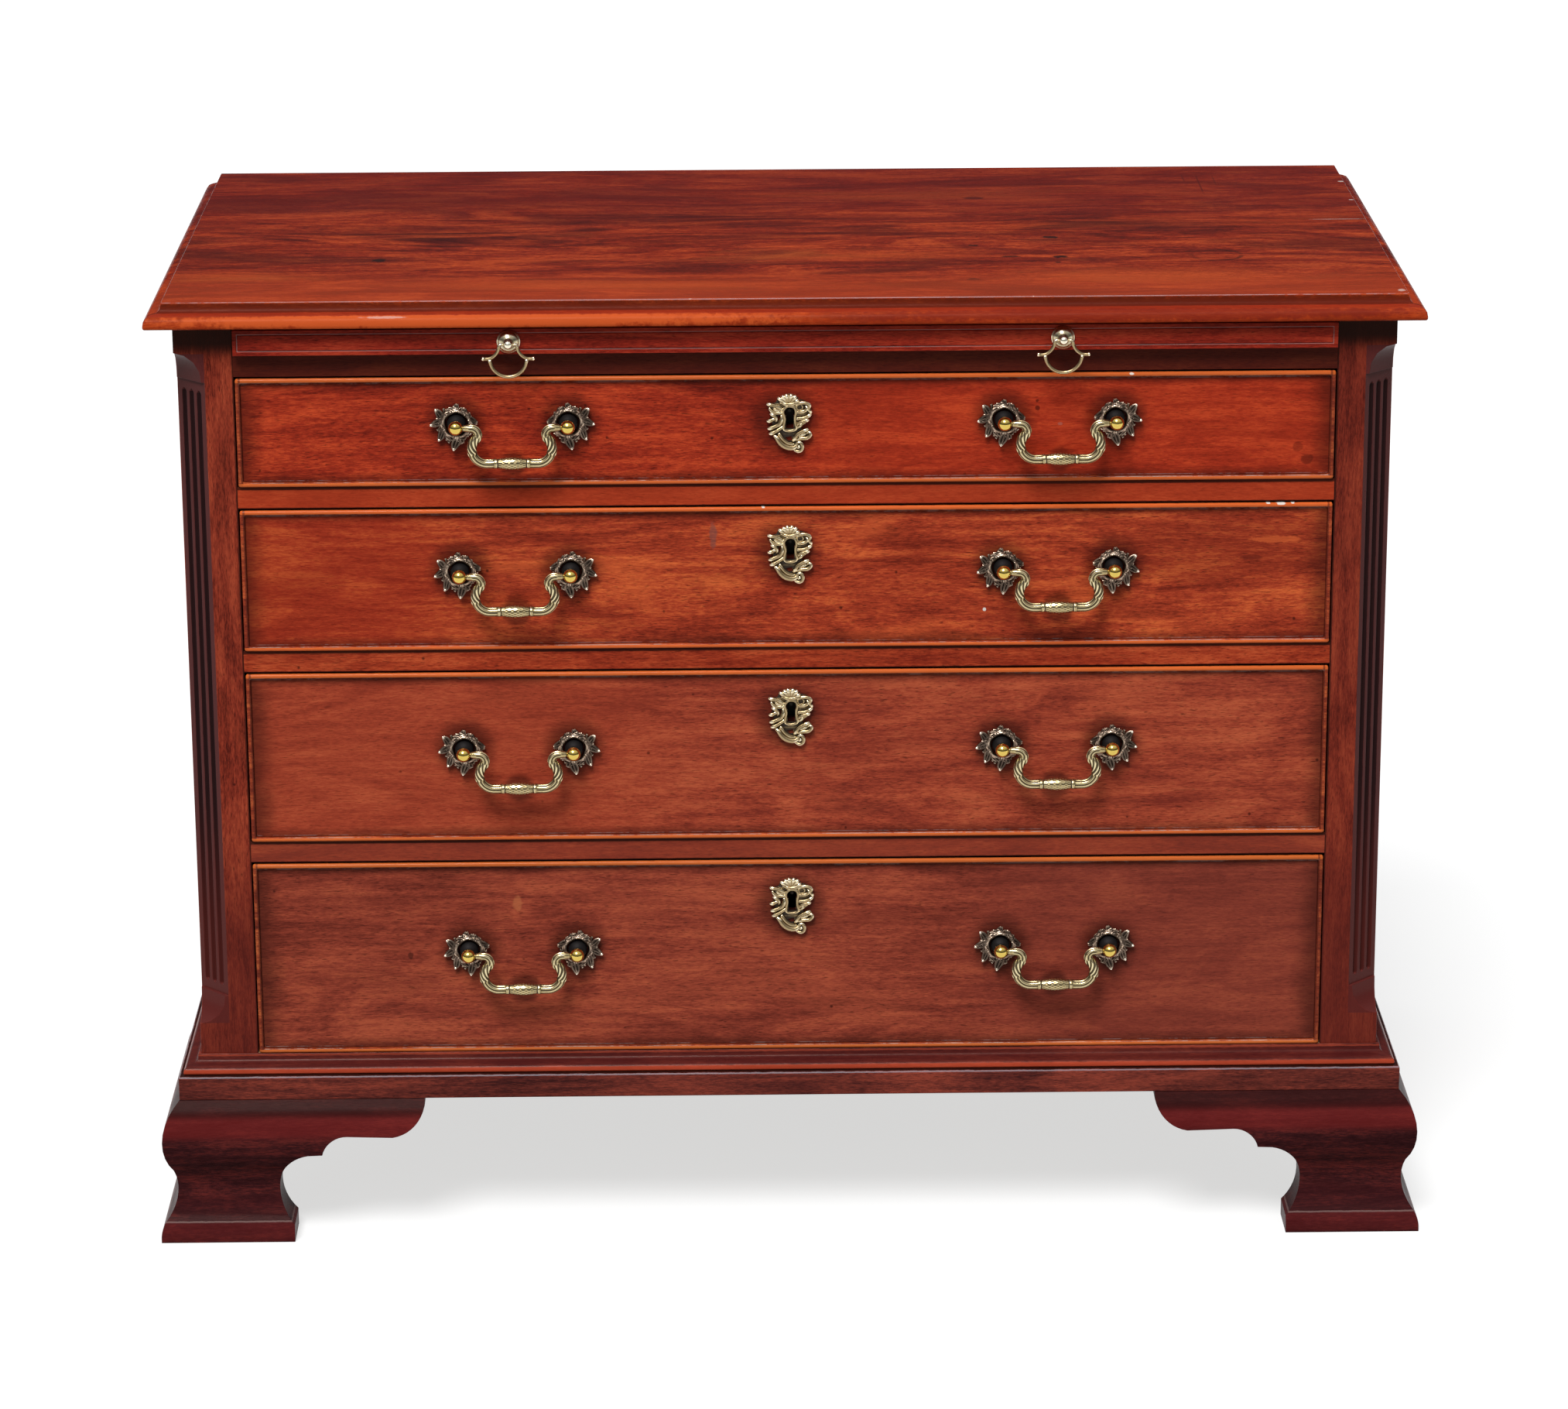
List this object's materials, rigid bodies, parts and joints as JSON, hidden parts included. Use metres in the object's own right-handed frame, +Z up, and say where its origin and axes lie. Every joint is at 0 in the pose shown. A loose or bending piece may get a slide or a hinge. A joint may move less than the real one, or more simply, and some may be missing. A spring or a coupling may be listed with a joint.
{
  "type": "chest of drawers",
  "caption": "Straight-front mahogany chest of graduated drawers under a brushing slide, with moulded top, canted fluted corners, brass bail handles and ogee bracket feet",
  "frame": {"origin": "under the middle of the chest, on the floor", "axes": "+X to the viewer's right along the front, -Y out of the front, +Z up, metres"},
  "size_m": [1.107, 0.5856, 0.838],
  "materials": {
    "mahogany": "waxed, glossy",
    "drawer_front": "waxed, glossy",
    "oak": "bare, aged",
    "pine": "bare, aged",
    "brass": "aged, rubbed bright on high places"
  },
  "bodies": {
    "carcass": {"top": "mahogany", "sides": "mahogany", "corner_posts": "mahogany", "back_boards": "pine", "bottom_board": "pine", "drawer_rails": "mahogany", "dust_boards": "pine", "drawer_guides": "pine", "drawer_stops": "pine", "base_moulding": "mahogany", "plinth_fascia": "mahogany", "front_feet": "mahogany", "back_feet": "mahogany", "foot_blocks": "pine"},
    "slide": {"slide_front": "mahogany", "slide_board": "mahogany", "slide_cleats": "mahogany", "slide_pull_bosses": "brass"},
    "slide_ring_left": {"slide_ring_left": "brass"},
    "slide_ring_right": {"slide_ring_right": "brass"},
    "drawer_1": {"drawer_1_front": "drawer_front", "drawer_1_cock_bead": "drawer_front", "drawer_1_linings": "oak", "drawer_1_bottom": "oak", "drawer_1_lock": "brass", "drawer_1_escutcheon": "brass", "drawer_1_handle_mounts": "brass"},
    "drawer_1_bail_left": {"drawer_1_bail_left": "brass"},
    "drawer_1_bail_right": {"drawer_1_bail_right": "brass"},
    "drawer_1_lock_bolt": {"drawer_1_lock_bolt": "brass"},
    "drawer_2": {"drawer_2_front": "drawer_front", "drawer_2_cock_bead": "drawer_front", "drawer_2_linings": "oak", "drawer_2_bottom": "oak", "drawer_2_lock": "brass", "drawer_2_escutcheon": "brass", "drawer_2_handle_mounts": "brass"},
    "drawer_2_bail_left": {"drawer_2_bail_left": "brass"},
    "drawer_2_bail_right": {"drawer_2_bail_right": "brass"},
    "drawer_2_lock_bolt": {"drawer_2_lock_bolt": "brass"},
    "drawer_3": {"drawer_3_front": "drawer_front", "drawer_3_cock_bead": "drawer_front", "drawer_3_linings": "oak", "drawer_3_bottom": "oak", "drawer_3_lock": "brass", "drawer_3_escutcheon": "brass", "drawer_3_handle_mounts": "brass"},
    "drawer_3_bail_left": {"drawer_3_bail_left": "brass"},
    "drawer_3_bail_right": {"drawer_3_bail_right": "brass"},
    "drawer_3_lock_bolt": {"drawer_3_lock_bolt": "brass"},
    "drawer_4": {"drawer_4_front": "drawer_front", "drawer_4_cock_bead": "drawer_front", "drawer_4_linings": "oak", "drawer_4_bottom": "oak", "drawer_4_lock": "brass", "drawer_4_escutcheon": "brass", "drawer_4_handle_mounts": "brass"},
    "drawer_4_bail_left": {"drawer_4_bail_left": "brass"},
    "drawer_4_bail_right": {"drawer_4_bail_right": "brass"},
    "drawer_4_lock_bolt": {"drawer_4_lock_bolt": "brass"}
  },
  "joints": [
    {"name": "slide_pull_out", "type": "slide", "parent": "carcass", "child": "slide", "axis": [0, -1, 0], "range_m": [0, 0.26]},
    {"name": "slide_ring_left_swing", "type": "hinge", "parent": "slide", "child": "slide_ring_left", "pos_m": [-0.233, -0.27775, 0.8033], "axis": [-1, 0, 0], "range_deg": [-15, 110]},
    {"name": "slide_ring_right_swing", "type": "hinge", "parent": "slide", "child": "slide_ring_right", "pos_m": [0.233, -0.27775, 0.8033], "axis": [-1, 0, 0], "range_deg": [-15, 110]},
    {"name": "drawer_1_pull_out", "type": "slide", "parent": "carcass", "child": "drawer_1", "axis": [0, -1, 0], "range_m": [0, 0.38]},
    {"name": "drawer_1_bail_left_swing", "type": "hinge", "parent": "drawer_1", "child": "drawer_1_bail_left", "pos_m": [-0.2315, -0.27525, 0.73095], "axis": [-1, 0, 0], "range_deg": [-15, 120]},
    {"name": "drawer_1_bail_right_swing", "type": "hinge", "parent": "drawer_1", "child": "drawer_1_bail_right", "pos_m": [0.2315, -0.27525, 0.73095], "axis": [-1, 0, 0], "range_deg": [-15, 120]},
    {"name": "drawer_1_lock_bolt_throw", "type": "slide", "parent": "drawer_1", "child": "drawer_1_lock_bolt", "axis": [0, 0, 1], "range_m": [0, 0.008]},
    {"name": "drawer_2_pull_out", "type": "slide", "parent": "carcass", "child": "drawer_2", "axis": [0, -1, 0], "range_m": [0, 0.38]},
    {"name": "drawer_2_bail_left_swing", "type": "hinge", "parent": "drawer_2", "child": "drawer_2_bail_left", "pos_m": [-0.2315, -0.27525, 0.60095], "axis": [-1, 0, 0], "range_deg": [-15, 120]},
    {"name": "drawer_2_bail_right_swing", "type": "hinge", "parent": "drawer_2", "child": "drawer_2_bail_right", "pos_m": [0.2315, -0.27525, 0.60095], "axis": [-1, 0, 0], "range_deg": [-15, 120]},
    {"name": "drawer_2_lock_bolt_throw", "type": "slide", "parent": "drawer_2", "child": "drawer_2_lock_bolt", "axis": [0, 0, 1], "range_m": [0, 0.008]},
    {"name": "drawer_3_pull_out", "type": "slide", "parent": "carcass", "child": "drawer_3", "axis": [0, -1, 0], "range_m": [0, 0.38]},
    {"name": "drawer_3_bail_left_swing", "type": "hinge", "parent": "drawer_3", "child": "drawer_3_bail_left", "pos_m": [-0.2315, -0.27525, 0.44245], "axis": [-1, 0, 0], "range_deg": [-15, 120]},
    {"name": "drawer_3_bail_right_swing", "type": "hinge", "parent": "drawer_3", "child": "drawer_3_bail_right", "pos_m": [0.2315, -0.27525, 0.44245], "axis": [-1, 0, 0], "range_deg": [-15, 120]},
    {"name": "drawer_3_lock_bolt_throw", "type": "slide", "parent": "drawer_3", "child": "drawer_3_lock_bolt", "axis": [0, 0, 1], "range_m": [0, 0.008]},
    {"name": "drawer_4_pull_out", "type": "slide", "parent": "carcass", "child": "drawer_4", "axis": [0, -1, 0], "range_m": [0, 0.38]},
    {"name": "drawer_4_bail_left_swing", "type": "hinge", "parent": "drawer_4", "child": "drawer_4_bail_left", "pos_m": [-0.2315, -0.27525, 0.25895], "axis": [-1, 0, 0], "range_deg": [-15, 120]},
    {"name": "drawer_4_bail_right_swing", "type": "hinge", "parent": "drawer_4", "child": "drawer_4_bail_right", "pos_m": [0.2315, -0.27525, 0.25895], "axis": [-1, 0, 0], "range_deg": [-15, 120]},
    {"name": "drawer_4_lock_bolt_throw", "type": "slide", "parent": "drawer_4", "child": "drawer_4_lock_bolt", "axis": [0, 0, 1], "range_m": [0, 0.008]}
  ]
}
